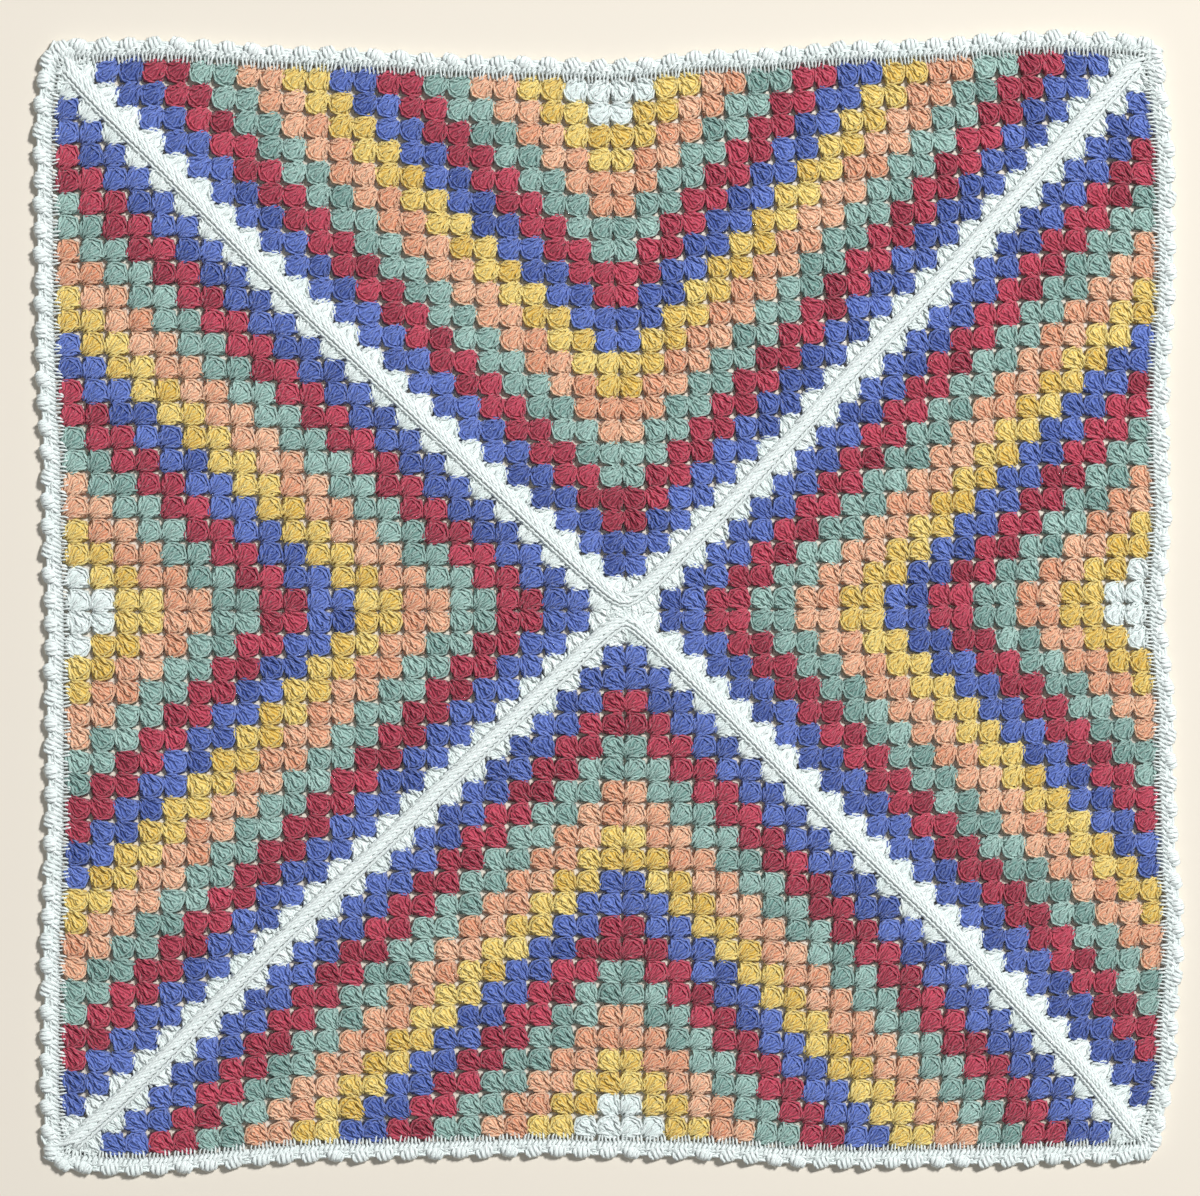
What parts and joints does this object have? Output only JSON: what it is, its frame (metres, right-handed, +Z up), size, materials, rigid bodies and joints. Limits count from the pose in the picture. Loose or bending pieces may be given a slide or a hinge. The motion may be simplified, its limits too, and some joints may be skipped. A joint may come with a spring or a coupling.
{
  "type": "crochet baby blanket",
  "caption": "Square crochet baby blanket, flat, in striped half granny squares with raised white joins and a bobbled edging.",
  "frame": {"origin": "under the middle of the blanket's outline, on the plane that its underside lies on", "axes": "+Z up out of the fabric's face, +X and +Y along two sides of the square, +Y towards the side that is uppermost in the picture"},
  "size_m": [0.8181, 0.8146, 0.0081],
  "materials": {
    "striped_yarn": "matt aran-weight acrylic yarn in white, yellow, peach, sage, crimson and blue stripes, two rows each",
    "white_yarn": "matt white aran-weight acrylic yarn"
  },
  "bodies": {
    "root": {"panel_top": "striped_yarn", "panel_left": "striped_yarn", "panel_bottom": "striped_yarn", "panel_right": "striped_yarn", "upper_join": "white_yarn", "lower_join": "white_yarn", "edging": "white_yarn"}
  },
  "joints": []
}
